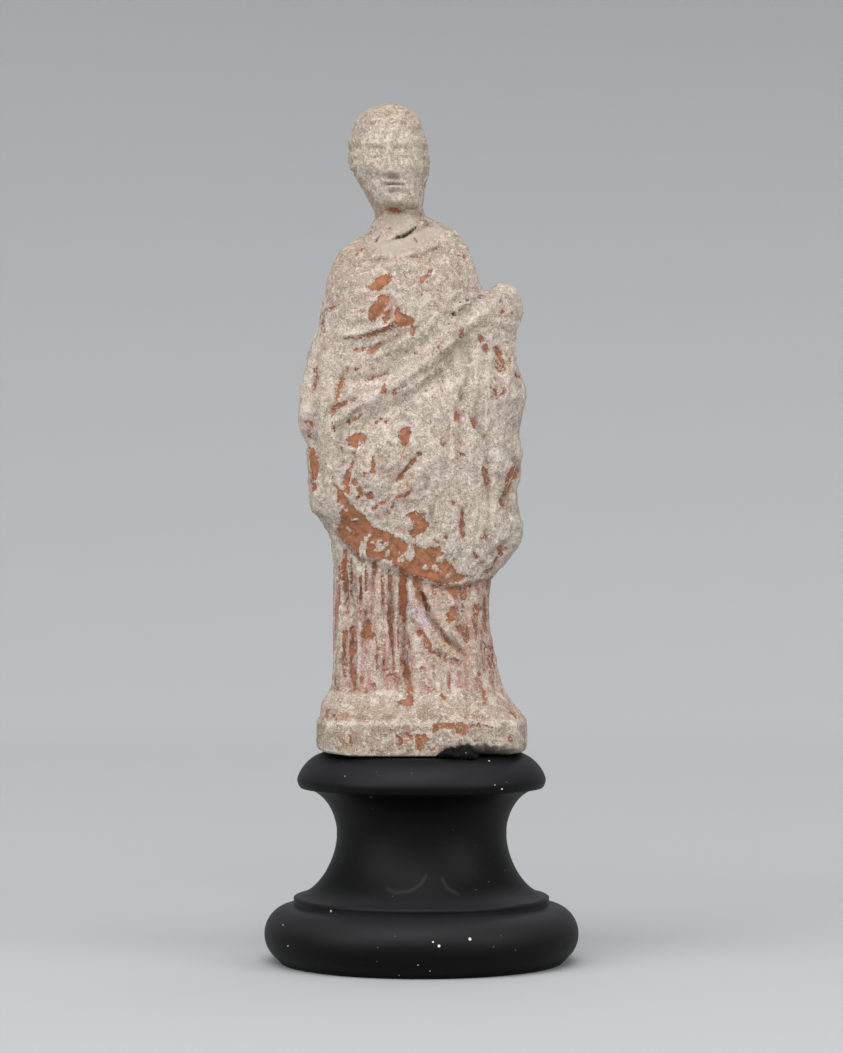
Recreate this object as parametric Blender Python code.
"""A draped woman standing on her own thin plinth, moulded as one small terracotta, on a turned black socle.

Metres, +Z up. She faces -Y, and +X is to a viewer's right. The origin is on the floor, on the socle's axis.
"""
import math

import bmesh
import bpy
import numpy as np

# Turned socle, from the floor up
SOCLE_HEIGHT = 0.0480
FOOT_FLAT_RADIUS = 0.0325
FOOT_ROLL_RADIUS = 0.0362
FOOT_ROLL_HEIGHT = 0.0130
FILLET_RADIUS = 0.0294
FILLET_HEIGHT = 0.0016
WAIST_RADIUS = 0.0195
LIP_RADIUS = 0.0286
LIP_HEIGHT = 0.0080
LIP_WIDEST = 0.78
TOP_FLAT_RADIUS = 0.0225
WAIST_LEVEL = 0.58

# Plinth that was moulded with the figure
PLINTH_WIDTH = 0.0486
PLINTH_DEPTH = 0.0400
PLINTH_HEIGHT = 0.0082
PLINTH_EDGE = 0.0006
PLINTH_SQUARENESS = 5.0

# Chip broken out of the plinth's lower front edge
CHIP_CENTRE = 0.0112
CHIP_WIDTH = 0.0180
CHIP_HEIGHT = 0.0024
CHIP_DEPTH = 0.0080

# Black putty squeezed into the chip: where it starts inside the chip's left end, and its own sizes
PUTTY_START = 0.0010
PUTTY_WIDTH = 0.0100
PUTTY_BULGE = 0.0022
PUTTY_THICKNESS = 0.0012
PUTTY_LUMPS = 0.0004

# The woman, from the plinth's top edge to her crown
FIGURE_HEIGHT = 0.1410

# Clearance between pieces that touch
GAP = 0.0003

# How finely the solids are cut up
FRONT_COLUMNS = 40
BACK_COLUMNS = 14
SOCLE_SEGMENTS = 36
NARROWEST_FOLD = 1.15

# The body's sections: height, left edge, right edge, front, back and squareness of the outline.
# Lengths are hundredths of the figure's height, and a squareness of 2 is an ellipse.
BODY_SECTIONS = [
    (2.2, -16.2, 14.8, 11.6, 10.2, 3.2),
    (5.0, -14.7, 13.2, 10.2, 8.9, 2.7),
    (10.0, -14.4, 12.0, 9.6, 8.2, 2.5),
    (17.5, -14.4, 10.9, 9.3, 7.7, 2.5),
    (22.0, -14.5, 11.8, 9.2, 7.8, 2.5),
    (25.5, -14.8, 13.0, 9.5, 8.2, 2.5),
    (28.5, -15.1, 13.8, 9.9, 8.5, 2.5),
    (31.0, -16.0, 14.0, 10.1, 8.8, 2.5),
    (33.8, -18.3, 14.0, 10.3, 9.0, 2.5),
    (41.5, -18.8, 14.2, 10.7, 9.5, 2.5),
    (49.4, -20.4, 14.4, 10.6, 8.9, 2.5),
    (54.0, -20.0, 14.2, 10.2, 8.2, 2.4),
    (58.5, -18.8, 13.4, 9.8, 8.1, 2.4),
    (65.3, -16.8, 11.4, 9.9, 8.7, 2.3),
    (69.4, -16.4, 10.1, 9.5, 8.7, 2.3),
    (73.0, -15.0, 8.9, 8.5, 8.1, 2.2),
    (75.6, -13.7, 7.9, 7.3, 7.3, 2.1),
    (77.3, -12.0, 6.5, 6.3, 6.5, 2.0),
    (78.9, -9.6, 5.2, 5.3, 5.8, 2.0),
    (80.4, -8.3, 2.4, 4.7, 5.2, 2.0),
]

# How much further out the cloth over the left arm reaches at each height
ARM_REACH = [
    (0.0, 0.0),
    (22.0, 0.0),
    (25.5, 1.4),
    (28.5, 2.8),
    (41.5, 2.6),
    (54.0, 2.7),
    (58.5, 2.3),
    (62.4, 3.1),
    (65.3, 5.0),
    (67.4, 5.3),
    (68.1, 4.6),
    (68.8, 1.0),
    (69.4, 0.0),
    (100.0, 0.0),
]

# The neck and head: height, middle, half-width, front, back. The head leans a little to her right.
HEAD_SECTIONS = [
    (81.6, -3.8, 4.3, 4.6, 5.0),
    (82.6, -4.0, 4.4, 5.9, 5.3),
    (83.4, -4.1, 4.7, 7.0, 5.7),
    (85.4, -4.5, 5.3, 7.5, 6.6),
    (88.0, -5.0, 6.0, 7.6, 7.6),
    (91.0, -5.4, 6.4, 7.5, 8.3),
    (93.6, -5.6, 6.2, 7.2, 8.2),
    (96.0, -5.8, 5.4, 6.4, 7.3),
    (98.0, -6.0, 4.1, 4.9, 5.8),
    (99.3, -6.1, 2.6, 3.1, 3.9),
    (100.0, -6.2, 0.6, 0.8, 1.2),
]

# Heights between which the figure's rings are spread evenly, and how many rings each stretch has
RING_STRETCHES = [
    (0.0, 4.4, 3),
    (4.4, 20.0, 6),
    (20.0, 31.0, 8),
    (31.0, 67.4, 19),
    (67.4, 69.4, 5),
    (69.4, 81.6, 8),
    (81.6, 84.0, 3),
    (84.0, 97.0, 11),
    (97.0, 100.0, 4),
]

# Over the mantle the rings slope up to her left, along the way that its folds run
RING_SLOPE = 0.50

# Folds and creases seen from the front, and those of the back. Each has the height that it stands up
# (below zero it is a groove), its width on the left and on the right of its path, and the path itself.
MANTLE_FOLDS = [
    # Edge of the mantle drawn across the neck, and the soft folds of the chest
    (0.45, 0.7, 1.3, [(-15.8, 67.4), (-11.2, 70.2), (-6.7, 72.6), (-2.2, 74.8), (4.0, 78.2)]),
    (-0.35, 0.8, 0.6, [(-12.0, 71.0), (-6.7, 73.8), (-2.2, 76.0), (3.2, 78.6)]),
    (0.55, 0.9, 1.5, [(-10.4, 67.6), (-7.4, 69.6), (-4.4, 71.2)]),
    (0.50, 1.3, 1.2, [(-9.2, 63.6), (-7.4, 66.2), (-6.2, 68.4)]),
    (0.70, 1.0, 0.7, [(-14.4, 62.6), (-10.4, 61.6), (-6.0, 62.8), (-1.2, 64.4)]),
    (0.45, 0.8, 0.9, [(-0.6, 69.4), (0.8, 71.0), (2.4, 73.0)]),
    (-0.40, 0.7, 0.9, [(-13.6, 53.8), (-10.3, 54.4), (-6.0, 55.2), (-1.8, 57.3)]),
    (0.55, 1.6, 1.2, [(-13.6, 56.8), (-8.0, 57.8), (-2.0, 60.6), (4.0, 65.4)]),
    # Creases fanning from the elbow
    (-0.55, 0.6, 0.8, [(-14.8, 48.6), (-12.8, 50.4), (-9.0, 51.6)]),
    (-0.50, 0.6, 0.7, [(-13.8, 46.2), (-11.0, 48.4), (-7.8, 50.8)]),
    # The great roll of cloth from the hip up to the left hand, and the shaded hollow below it
    (1.25, 1.7, 1.3, [(-14.6, 44.6), (-8.8, 48.2), (-3.0, 52.4), (3.0, 57.0), (8.6, 63.0), (12.4, 66.8)]),
    (-0.95, 1.3, 2.4, [(-13.4, 42.2), (-8.6, 45.2), (-3.6, 48.8), (1.4, 52.0), (5.2, 55.2), (7.4, 59.6)]),
    (-0.85, 0.8, 0.9, [(10.4, 69.4), (8.2, 66.2), (4.8, 64.2)]),
    # Cloth hanging from the left arm
    (-0.75, 0.7, 0.7, [(7.4, 59.0), (6.9, 53.0), (6.2, 46.0), (5.8, 38.0)]),
    (0.75, 1.0, 0.9, [(9.0, 62.0), (8.8, 54.0), (8.4, 46.0), (8.2, 34.0)]),
    (-0.65, 0.7, 0.7, [(10.2, 60.0), (11.2, 55.0), (11.0, 46.0), (10.6, 36.0)]),
    (0.80, 1.1, 1.2, [(12.6, 62.0), (13.4, 55.0), (13.0, 46.0), (12.6, 38.0)]),
    (-0.60, 0.6, 0.6, [(13.4, 43.0), (15.2, 40.6), (14.2, 36.6), (12.8, 34.4), (13.2, 31.6)]),
    (-0.45, 0.6, 0.6, [(6.5, 35.0), (6.5, 28.0)]),
    (-0.50, 0.6, 0.7, [(9.9, 25.6), (12.2, 27.8), (14.3, 28.6)]),
    # Soft folds across the belly and thighs
    (-0.40, 0.8, 0.9, [(-10.3, 42.9), (-11.1, 40.5), (-12.4, 36.5)]),
    (-0.40, 0.9, 0.9, [(0.2, 43.4), (-1.8, 40.6), (-4.2, 37.6)]),
    (0.40, 1.2, 1.2, [(2.6, 43.0), (-0.4, 38.0), (-5.6, 33.8)]),
    (-0.35, 0.9, 0.8, [(-4.3, 38.1), (-6.6, 35.4), (-9.4, 33.6)]),
    # Crease between the wrapped right arm and the body, down to the hand
    (-0.70, 0.8, 0.6, [(-15.9, 66.0), (-16.6, 60.0), (-16.8, 53.0), (-16.9, 46.0), (-15.8, 40.0),
                       (-15.0, 33.0)]),
]

# Pleats of the skirt, written as the mantle's folds are
SKIRT_FOLDS = [
    (0.60, 0.8, 0.7, [(-12.8, 27.0), (-12.9, 15.0), (-13.2, 3.4)]),
    (-0.75, 0.6, 0.6, [(-11.2, 25.4), (-11.0, 14.0), (-11.2, 3.4)]),
    (0.40, 0.6, 0.5, [(-10.0, 25.0), (-10.0, 4.0)]),
    (-0.45, 0.5, 0.5, [(-9.0, 24.6), (-9.2, 8.0)]),
    (0.55, 1.1, 1.1, [(-6.9, 24.0), (-6.9, 4.0)]),
    (-0.70, 0.6, 0.5, [(-4.9, 23.4), (-4.8, 9.0)]),
    (0.30, 0.5, 0.5, [(-3.9, 23.2), (-3.9, 6.0)]),
    (-1.00, 0.6, 0.7, [(-2.9, 24.0), (-2.8, 14.0), (-2.2, 7.0), (-1.6, 3.4)]),
    (0.35, 1.3, 1.0, [(-0.9, 20.0), (-0.4, 12.0), (0.6, 5.0)]),
    (-0.85, 0.5, 0.9, [(-0.4, 21.6), (1.2, 16.6), (3.2, 13.4), (7.2, 9.8)]),
    (-0.55, 0.7, 0.5, [(1.8, 11.0), (4.2, 9.2), (6.8, 8.4)]),
    (0.60, 1.0, 0.9, [(7.8, 21.4), (8.0, 14.0), (8.6, 6.0)]),
    (-0.55, 0.6, 0.6, [(9.6, 13.4), (11.0, 7.0), (12.8, 3.6)]),
]

BACK_FOLDS = [
    # Mantle thrown over the left shoulder, and its broad folds across the back
    (0.80, 1.4, 2.0, [(7.0, 75.0), (2.0, 70.0), (-5.0, 64.0), (-14.0, 58.0)]),
    (-0.55, 1.2, 1.2, [(8.4, 71.0), (3.0, 65.0), (-4.0, 59.0), (-14.0, 53.0)]),
    (0.70, 1.5, 2.0, [(11.0, 67.0), (5.0, 59.0), (-3.0, 51.0), (-15.0, 44.0)]),
    (-0.50, 1.2, 1.2, [(12.5, 62.0), (7.0, 53.0), (-1.0, 45.0), (-13.0, 38.0)]),
    (0.60, 1.5, 1.8, [(13.5, 57.0), (9.0, 46.0), (2.0, 37.0), (-9.0, 31.0)]),
    (-0.50, 0.9, 0.9, [(13.4, 48.0), (11.4, 38.0), (8.0, 29.0)]),
]

# Broad swellings under the cloth: middle, half-widths across and up, and how far each stands out
FRONT_FORMS = [
    ((-8.5, 66.0), (5.0, 4.5), 0.7),
    ((2.5, 66.5), (4.5, 4.5), 0.8),
    ((-2.0, 43.0), (8.0, 7.0), 0.9),
    ((12.5, 60.0), (4.5, 8.0), 1.3),
    ((-9.5, 37.0), (4.5, 6.0), 0.5),
    ((4.6, 17.0), (3.6, 7.0), 0.9),
    ((-17.6, 50.0), (2.6, 6.0), 0.5),
]

# Where the skirt's ridges and grooves lie from left to right, so that columns of the loft run along them
PLEAT_LINES = [-12.9, -11.1, -10.0, -9.0, -6.9, -4.9, -3.9, -2.8, -0.9, 1.2, 4.6, 8.0, 9.6]
PLEAT_HEIGHT = 14.0

# Hem of the mantle: its height from the left side to the right, in front and behind
FRONT_HEM = [(-21.0, 30.5), (-14.2, 30.4), (-12.2, 27.8), (-9.6, 25.6), (-4.4, 24.3), (0.0, 22.2),
             (5.0, 21.3), (8.0, 21.9), (11.0, 22.6), (13.0, 24.6), (16.5, 28.6), (21.0, 28.6)]
BACK_HEM = [(-21.0, 30.5), (-14.0, 28.5), (-6.0, 24.5), (3.0, 22.6), (10.0, 23.4), (16.5, 28.6), (21.0, 28.6)]
HEM_STEP = 0.95
HEM_SOFTNESS = 0.9

# The covered left hand stands up from the forearm: its middle, half-widths and height
HAND_MIDDLE = (13.7, -4.6)
HAND_SPREAD = (2.5, 4.6)
HAND_RISE = 1.9
HAND_FOOT = 63.0
HAND_TOP = 67.8

# Old break round the neck, from the left side to the right
NECK_JOINT = [(-9.2, 77.6), (-7.2, 77.2), (-4.3, 77.4), (-0.7, 78.7), (1.6, 80.4), (3.6, 79.6)]
NECK_JOINT_DEPTH = 0.55
NECK_JOINT_WIDTH = 0.5

# Face and hair, in heights of the head, measured up from the chin and out from the middle
CHIN_LEVEL = 82.6
NOSE_TOP = 0.60
NOSE_BASE = 0.30
NOSE_STAND = 0.075
HAIR_LINE = 0.84
HAIR_STAND = 0.035
FACE_MIDDLE = 0.40
FACE_HALF_WIDTH = 0.30

# Forms of a calm, regular face, the same on both sides: how far each stands out, its distance from the
# middle, its level, and its half-widths across and up
FACE_FORMS = [
    # Eye sockets, and the closed forms of the eyes in them
    (-0.042, 0.155, 0.500, 0.085, 0.050),
    (0.026, 0.155, 0.500, 0.050, 0.026),
    # Brows and cheeks
    (0.014, 0.140, 0.595, 0.110, 0.030),
    (0.020, 0.190, 0.360, 0.090, 0.080),
    # Hollow under the nose, the two lips, the hollow under them, and the chin
    (-0.022, 0.000, 0.265, 0.130, 0.030),
    (0.026, 0.000, 0.228, 0.085, 0.020),
    (0.028, 0.000, 0.174, 0.070, 0.022),
    (-0.016, 0.000, 0.125, 0.080, 0.020),
    (0.024, 0.000, 0.050, 0.085, 0.050),
]


def smooth_step(low, high, value):
    """Rise softly from 0 at low to 1 at high."""
    share = np.clip((value - low) / (high - low), 0.0, 1.0)
    return share * share * (3.0 - 2.0 * share)


def smooth_table(rows, heights):
    """Read every column of a table at the given heights, along curves that never overshoot its rows."""
    rows = np.array(rows, dtype=float)
    known = rows[:, 0]
    columns = []
    for column in rows[:, 1:].T:
        slopes = np.diff(column) / np.diff(known)
        tangents = np.zeros_like(column)
        same_way = slopes[:-1] * slopes[1:] > 0.0
        middle = 2.0 * slopes[:-1] * slopes[1:] / np.where(same_way, slopes[:-1] + slopes[1:], 1.0)
        tangents[1:-1] = np.where(same_way, middle, 0.0)
        tangents[0] = slopes[0]
        tangents[-1] = slopes[-1]
        index = np.clip(np.searchsorted(known, heights) - 1, 0, len(known) - 2)
        span = known[index + 1] - known[index]
        t = np.clip((heights - known[index]) / span, 0.0, 1.0)
        start = (2 * t**3 - 3 * t**2 + 1) * column[index] + (t**3 - 2 * t**2 + t) * span * tangents[index]
        end = (3 * t**2 - 2 * t**3) * column[index + 1] + (t**3 - t**2) * span * tangents[index + 1]
        columns.append(start + end)
    return columns


def even_angles(count, first, last, width_to_depth=1.7):
    """Angles from first up to last that step evenly round an ellipse of this shape."""
    fine = np.linspace(first, last, 2000)
    steps = np.hypot(np.diff(width_to_depth * np.cos(fine)), np.diff(np.sin(fine)))
    length = np.concatenate([[0.0], np.cumsum(steps)])
    return np.interp(np.linspace(0.0, length[-1], count + 1)[:-1], length, fine)


def squared_reach(angles, squareness):
    """Distance from the middle to a rounded square of half-width 1, at each angle."""
    total = np.abs(np.cos(angles)) ** squareness + np.abs(np.sin(angles)) ** squareness
    return total ** (-1.0 / squareness)


def column_angles():
    """One angle for each column of the loft: close together in front, wider apart behind."""
    front = even_angles(FRONT_COLUMNS, math.pi, 2.0 * math.pi)
    back = even_angles(BACK_COLUMNS, 0.0, math.pi)
    return np.concatenate([front, back])


def pleated_angles(angles):
    """The same angles, with the nearest column in front moved on to each line of the skirt's pleats."""
    left, right, _, _, squareness = smooth_table(BODY_SECTIONS, np.array([PLEAT_HEIGHT]))
    front = angles[:FRONT_COLUMNS]
    across = (left + right) / 2.0 + (right - left) / 2.0 * squared_reach(front, squareness) * np.cos(front)
    indices = [int(np.argmin(np.abs(across - line))) for line in PLEAT_LINES]
    wanted = np.interp(PLEAT_LINES, across, front)
    known = [0] + indices + [FRONT_COLUMNS - 1]
    targets = np.concatenate([[front[0]], wanted, [front[-1]]])
    moved = angles.copy()
    moved[:FRONT_COLUMNS] = np.interp(np.arange(FRONT_COLUMNS), known, targets)
    return moved


def figure_rings():
    """Angles and heights of every point of the figure's loft, ring by ring."""
    angles = column_angles()
    stretches = [np.linspace(low, high, count + 1)[:-1] for low, high, count in RING_STRETCHES]
    heights = np.concatenate(stretches + [[100.0]])[:, None]
    on_skirt = smooth_step(0.0, 6.0, heights) * smooth_step(30.0, 24.0, heights)
    turned = on_skirt * pleated_angles(angles)[None, :] + (1.0 - on_skirt) * angles[None, :]
    half_width = 17.0
    sloping = smooth_step(27.0, 50.0, heights) * smooth_step(68.0, 50.0, heights)
    return turned, heights + RING_SLOPE * half_width * sloping * np.cos(angles)[None, :]


def fold(across, up, narrowest, stand, left_width, right_width, path):
    """Height of one fold over a grid: a rounded ridge or groove along its path, fading at both ends."""
    path = np.array(path, dtype=float)
    lengths = np.hypot(*np.diff(path, axis=0).T)
    reached = np.concatenate([[0.0], np.cumsum(lengths)])
    nearest = np.full(across.shape, 1e9)
    side = np.zeros(across.shape)
    along = np.zeros(across.shape)
    for start, end, length, before in zip(path[:-1], path[1:], lengths, reached[:-1]):
        run = (end - start) / length
        from_x = across - start[0]
        from_y = up - start[1]
        share = np.clip(from_x * run[0] + from_y * run[1], 0.0, length)
        off = np.hypot(from_x - share * run[0], from_y - share * run[1])
        closer = off < nearest
        nearest = np.where(closer, off, nearest)
        side = np.where(closer, run[0] * from_y - run[1] * from_x, side)
        along = np.where(closer, before + share, along)
    width = np.maximum(np.where(side > 0.0, left_width, right_width), narrowest)
    total = reached[-1]
    fade = smooth_step(-0.02, 0.22, np.minimum(along, total - along) / total)
    return stand * fade * np.exp(-(nearest / width) ** 2)


def swelling(across, up, middle, spread, stand):
    """A soft rounded form that stands out of the surface."""
    return stand * np.exp(-((across - middle[0]) / spread[0]) ** 2 - ((up - middle[1]) / spread[1]) ** 2)


def face_relief(out, up):
    """How far the face stands out of the egg of the head, in heights of the head."""
    side = np.abs(out)
    nose_width = 0.032 + 0.030 * smooth_step(0.52, NOSE_BASE, up)
    bridge = smooth_step(NOSE_TOP, NOSE_BASE + 0.03, up)
    underside = smooth_step(NOSE_BASE - 0.05, NOSE_BASE + 0.02, up)
    relief = NOSE_STAND * bridge * underside * np.exp(-(side / nose_width) ** 2)
    for stand, from_middle, level, half_width, half_height in FACE_FORMS:
        relief = relief + swelling(side, up, (from_middle, level), (half_width, half_height), stand)
    return relief


def figure_grid(angles, heights):
    """Points of the figure over its columns and rings, in hundredths of its height, with all its carving."""
    hundredth = FIGURE_HEIGHT / 100.0
    plinth_side = (PLINTH_WIDTH / 2.0 - PLINTH_EDGE) / hundredth
    plinth_front = (PLINTH_DEPTH / 2.0 - PLINTH_EDGE) / hundredth
    rows = [(0.0, -plinth_side, plinth_side, plinth_front, plinth_front, PLINTH_SQUARENESS)]
    rows += BODY_SECTIONS
    for height, middle, half, front, back in HEAD_SECTIONS:
        rows.append((height, middle - half, middle + half, front, back, 2.0))
    left, right, front, back, squareness = smooth_table(rows, heights)

    half_width = (right - left) / 2.0
    depth = np.where(np.sin(angles) < 0.0, front, back)
    out_x = squared_reach(angles, squareness) * np.cos(angles)
    out_y = squared_reach(angles, squareness) * np.sin(angles)
    arm_reach = smooth_table(ARM_REACH, heights)[0] * smooth_step(0.2, 1.0, out_x)
    x = (left + right) / 2.0 + half_width * out_x + arm_reach
    y = depth * out_y
    normal_x = np.sign(out_x) * np.abs(out_x) ** (squareness - 1.0) / half_width
    normal_y = np.sign(out_y) * np.abs(out_y) ** (squareness - 1.0) / depth
    size = np.hypot(normal_x, normal_y)
    normal_x = normal_x / size
    normal_y = normal_y / size
    up = heights + np.zeros_like(x)

    facing = smooth_step(0.0, 0.55, -normal_y)
    turned = smooth_step(0.0, 0.55, normal_y)
    in_front = smooth_step(0.25, -0.25, out_y)

    front_hem = np.interp(x, *np.array(FRONT_HEM).T)
    back_hem = np.interp(x, *np.array(BACK_HEM).T)
    hem = in_front * front_hem + (1.0 - in_front) * back_hem
    mantle = smooth_step(-HEM_SOFTNESS, HEM_SOFTNESS, up - hem) * smooth_step(80.0, 76.0, up)
    stand = HEM_STEP * mantle * np.maximum(facing, 0.35)
    for row in MANTLE_FOLDS:
        stand = stand + facing * fold(x, up, NARROWEST_FOLD, *row)
    for row in SKIRT_FOLDS:
        stand = stand + facing * fold(x, up, 0.0, *row)
    for row in BACK_FOLDS:
        stand = stand + turned * fold(x, up, NARROWEST_FOLD, *row)
    for middle, spread, height in FRONT_FORMS:
        stand = stand + facing * swelling(x, up, middle, spread, height)
    pleats = 0.38 * np.cos(x * 2.0 * math.pi / 3.4) * (1.0 - mantle)
    stand = stand + turned * pleats * smooth_step(2.0, 7.0, up) * smooth_step(80.0, 60.0, up)
    joint = np.interp(x, *np.array(NECK_JOINT).T)
    stand = stand - NECK_JOINT_DEPTH * np.exp(-((up - joint) / NECK_JOINT_WIDTH) ** 2)

    head_height = 100.0 - CHIN_LEVEL
    head_up = (up - CHIN_LEVEL) / head_height
    head_out = half_width * out_x / head_height
    from_middle = (head_up - FACE_MIDDLE) / (HAIR_LINE - FACE_MIDDLE)
    face_edge = FACE_HALF_WIDTH * np.sqrt(np.clip(1.0 - from_middle**2, 0.0, 1.0))
    is_face = smooth_step(0.03, -0.03, np.abs(head_out) - face_edge) * smooth_step(0.1, -0.2, out_y)
    is_hair = (1.0 - is_face) * smooth_step(0.24, 0.40, head_up)
    on_head = smooth_step(-0.03, 0.03, head_up)
    hair_relief = HAIR_STAND * is_hair * smooth_step(1.0, 0.9, head_up)
    head_relief = face_relief(head_out, head_up) * is_face + hair_relief
    stand = stand * (1.0 - on_head) + on_head * head_height * head_relief

    x = x + normal_x * stand
    y = y + normal_y * stand
    off_hand = ((x - HAND_MIDDLE[0]) / HAND_SPREAD[0]) ** 2 + ((y - HAND_MIDDLE[1]) / HAND_SPREAD[1]) ** 2
    hand = HAND_RISE * np.exp(-off_hand**2)
    up = up + hand * smooth_step(HAND_FOOT, HAND_TOP, up) * smooth_step(78.0, 71.0, up)
    return x, y, up


def chip_rise(x, y):
    """How far the plinth's underside is broken away above its flat, over a grid."""
    edge = PLINTH_DEPTH / 2.0
    across = np.clip(1.0 - ((x - CHIP_CENTRE) / (CHIP_WIDTH / 2.0)) ** 2, 0.0, 1.0)
    inward = np.clip((-y - (edge - CHIP_DEPTH)) / CHIP_DEPTH, 0.0, 1.2)
    return CHIP_HEIGHT * np.sqrt(across) * inward


def rounded_fall(share, squareness):
    """Fall of a rounded edge from 0 to 1 as it runs out from 0 to 1."""
    return 1.0 - (1.0 - share**squareness) ** (1.0 / squareness)


def socle_top(radius):
    """Height of the socle's rounded upper lip at this distance from the axis."""
    share = np.clip((radius - TOP_FLAT_RADIUS) / (LIP_RADIUS - TOP_FLAT_RADIUS), 0.0, 0.98)
    return SOCLE_HEIGHT - LIP_HEIGHT * LIP_WIDEST * rounded_fall(share, 1.6)


def new_mesh_object(name, points, faces, material, smooth_angle):
    """Add one closed mesh with its faces pointing out."""
    mesh = bpy.data.meshes.new(name)
    mesh.from_pydata([tuple(float(value) for value in point) for point in points], [], faces)
    work = bmesh.new()
    work.from_mesh(mesh)
    bmesh.ops.recalc_face_normals(work, faces=work.faces)
    work.to_mesh(mesh)
    work.free()
    mesh.shade_smooth()
    mesh.set_sharp_from_angle(angle=math.radians(smooth_angle))
    mesh.materials.append(material)
    obj = bpy.data.objects.new(name, mesh)
    bpy.context.scene.collection.objects.link(obj)
    return obj


def loft(name, rings, material, smooth_angle, rising_columns=0):
    """Join rings of equal length into a closed body, with a flat cap at each end.

    The first columns are split along the diagonal that rises from each column to the next, and the rest the
    other way, so that the edges follow the folds.
    """
    count = len(rings[0])
    points = [point for ring in rings for point in ring]
    faces = []
    for low in range(len(rings) - 1):
        for column in range(count):
            after = (column + 1) % count
            a = low * count + column
            b = low * count + after
            if column < rising_columns:
                faces.append((a, b, b + count))
                faces.append((a, b + count, a + count))
            else:
                faces.append((a, b, a + count))
                faces.append((b, b + count, a + count))
    faces.append(tuple(reversed(range(count))))
    last = (len(rings) - 1) * count
    faces.append(tuple(last + column for column in range(count)))
    return new_mesh_object(name, points, faces, material, smooth_angle)


def make_material(name, colour, roughness):
    """A plain dielectric of this colour."""
    material = bpy.data.materials.new(name)
    material.use_nodes = True
    shader = material.node_tree.nodes["Principled BSDF"]
    shader.inputs["Base Color"].default_value = (*colour, 1.0)
    shader.inputs["Roughness"].default_value = roughness
    shader.inputs["Metallic"].default_value = 0.0
    return material


def plinth_ring(angles, inset, height, chipped):
    """One outline of the plinth, drawn in by inset, at a height above its underside."""
    reach = squared_reach(angles, PLINTH_SQUARENESS)
    x = (PLINTH_WIDTH / 2.0 - inset) * reach * np.cos(angles)
    y = (PLINTH_DEPTH / 2.0 - inset) * reach * np.sin(angles)
    rise = chip_rise(x, y) if chipped else np.zeros_like(x)
    z = SOCLE_HEIGHT + GAP + height + rise
    return np.stack([x, y, z], axis=1)


def build_figurine(material):
    """The woman and her plinth, as one loft from the flat underside to the crown."""
    angles = column_angles()
    rings = [
        plinth_ring(angles, CHIP_DEPTH * 1.2, 0.0, False),
        plinth_ring(angles, CHIP_DEPTH * 0.5, 0.0, True),
        plinth_ring(angles, PLINTH_EDGE, 0.0, True),
        plinth_ring(angles, 0.0, PLINTH_HEIGHT * 0.45, False),
        plinth_ring(angles, 0.0, PLINTH_HEIGHT * 0.85, False),
    ]
    x, y, up = figure_grid(*figure_rings())
    scale = FIGURE_HEIGHT / 100.0
    base = SOCLE_HEIGHT + GAP + PLINTH_HEIGHT
    for row in range(len(x)):
        rings.append(np.stack([x[row] * scale, y[row] * scale, base + up[row] * scale], axis=1))
    return loft("figurine", rings, material, 50.0, FRONT_COLUMNS)


def build_putty(material):
    """The putty lump, between the socle's top and the broken underside of the plinth."""
    columns = 11
    rows = 6
    middle = CHIP_CENTRE - CHIP_WIDTH / 2.0 + PUTTY_START + PUTTY_WIDTH / 2.0
    plinth_front = -PLINTH_DEPTH / 2.0
    inner = plinth_front + CHIP_DEPTH * 0.45
    outer = plinth_front - PUTTY_BULGE
    u, v = np.meshgrid(np.linspace(-1.0, 1.0, columns), np.linspace(0.0, 1.0, rows))
    x = middle + PUTTY_WIDTH / 2.0 * u * (1.0 - 0.25 * v**2)
    y = inner + (outer - inner) * v * (1.0 - 0.18 * u**2)
    low = socle_top(np.hypot(x, y)) + GAP
    lumps = PUTTY_LUMPS * np.sin(x * 1900.0) * np.cos(y * 1500.0)
    bead = np.maximum(PUTTY_THICKNESS * np.sqrt(1.0 - u**2) + lumps, 0.0)
    roof = SOCLE_HEIGHT + chip_rise(x, y)
    in_open = smooth_step(plinth_front + GAP, plinth_front - GAP, y)
    high = np.minimum(low + bead, roof) + in_open * PUTTY_THICKNESS * 0.8 * np.sqrt(1.0 - u**2)
    high = np.maximum(high, low + GAP / 3.0)
    count = columns * rows
    under_side = np.stack([x, y, low], axis=-1).reshape(-1, 3)
    upper_side = np.stack([x, y, high], axis=-1).reshape(-1, 3)
    points = np.concatenate([under_side, upper_side])
    faces = []
    for row in range(rows - 1):
        for column in range(columns - 1):
            a = row * columns + column
            faces.append((a, a + 1, a + columns + 1, a + columns))
            faces.append((a + count, a + columns + count, a + columns + 1 + count, a + 1 + count))
    rim = list(range(columns))
    rim += [row * columns + columns - 1 for row in range(1, rows)]
    rim += [(rows - 1) * columns + column for column in range(columns - 2, -1, -1)]
    rim += [row * columns for row in range(rows - 2, 0, -1)]
    for here, after in zip(rim, rim[1:] + rim[:1]):
        faces.append((here, here + count, after + count, after))
    return new_mesh_object("mounting_putty", points, faces, material, 50.0)


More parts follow.
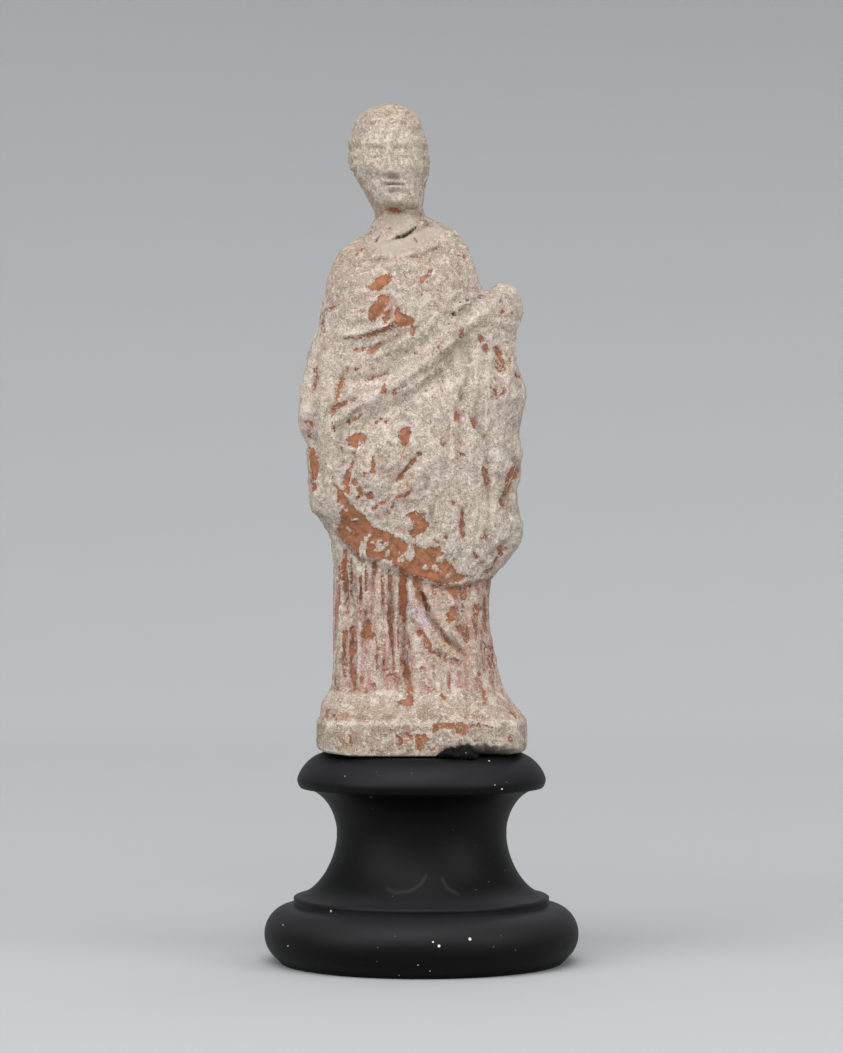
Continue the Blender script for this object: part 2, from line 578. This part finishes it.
def socle_profile():
    """Radius and height down the socle's outer side, from the top flat to the foot."""
    lip_low = SOCLE_HEIGHT - LIP_HEIGHT
    neck_top_radius = LIP_RADIUS - 0.0012
    hollow_low = FOOT_ROLL_HEIGHT + FILLET_HEIGHT
    waist = hollow_low + (lip_low - hollow_low) * WAIST_LEVEL
    profile = []
    for share in (0.0, 0.4, 0.65, 0.82, 0.94):
        radius = TOP_FLAT_RADIUS + (LIP_RADIUS - TOP_FLAT_RADIUS) * share
        profile.append((radius, float(socle_top(radius))))
    profile.append((LIP_RADIUS, SOCLE_HEIGHT - LIP_HEIGHT * LIP_WIDEST))
    profile.append((LIP_RADIUS - 0.0004, lip_low + LIP_HEIGHT * 0.06))
    for angle in (80, 62, 44, 26, 10):
        share = math.sin(math.radians(angle))
        radius = WAIST_RADIUS + (neck_top_radius - WAIST_RADIUS) * rounded_fall(share, 1.9)
        profile.append((radius, waist + (lip_low - waist) * share))
    for angle in (10, 28, 45, 60, 74, 87):
        share = math.sin(math.radians(angle))
        radius = WAIST_RADIUS + (FILLET_RADIUS - WAIST_RADIUS) * rounded_fall(share, 1.8)
        profile.append((radius, waist - (waist - hollow_low) * share))
    profile.append((FILLET_RADIUS, hollow_low))
    profile.append((FILLET_RADIUS, FOOT_ROLL_HEIGHT))
    half_roll = FOOT_ROLL_HEIGHT / 2.0
    core = FILLET_RADIUS + 0.0006
    for angle in (72, 54, 36, 18, 0, -18, -36, -54):
        turn = math.radians(angle)
        radius = core + (FOOT_ROLL_RADIUS - core) * math.cos(turn)
        profile.append((radius, half_roll * (1.0 + math.sin(turn))))
    profile.append((FOOT_FLAT_RADIUS, 0.0))
    return profile


def build_socle(material):
    """Turn the profile round the axis."""
    turns = [2.0 * math.pi * step / SOCLE_SEGMENTS for step in range(SOCLE_SEGMENTS)]
    rings = []
    for radius, height in socle_profile():
        rings.append([(radius * math.cos(turn), radius * math.sin(turn), height) for turn in turns])
    return loft("socle", rings, material, 40.0)


def main():
    for obj in list(bpy.data.objects):
        bpy.data.objects.remove(obj)
    terracotta = make_material("slip_coated_terracotta", (0.50, 0.42, 0.35), 0.92)
    putty = make_material("black_putty", (0.012, 0.012, 0.012), 0.55)
    paint = make_material("matt_black_paint", (0.022, 0.022, 0.023), 0.60)
    build_figurine(terracotta)
    build_putty(putty)
    build_socle(paint)


main()
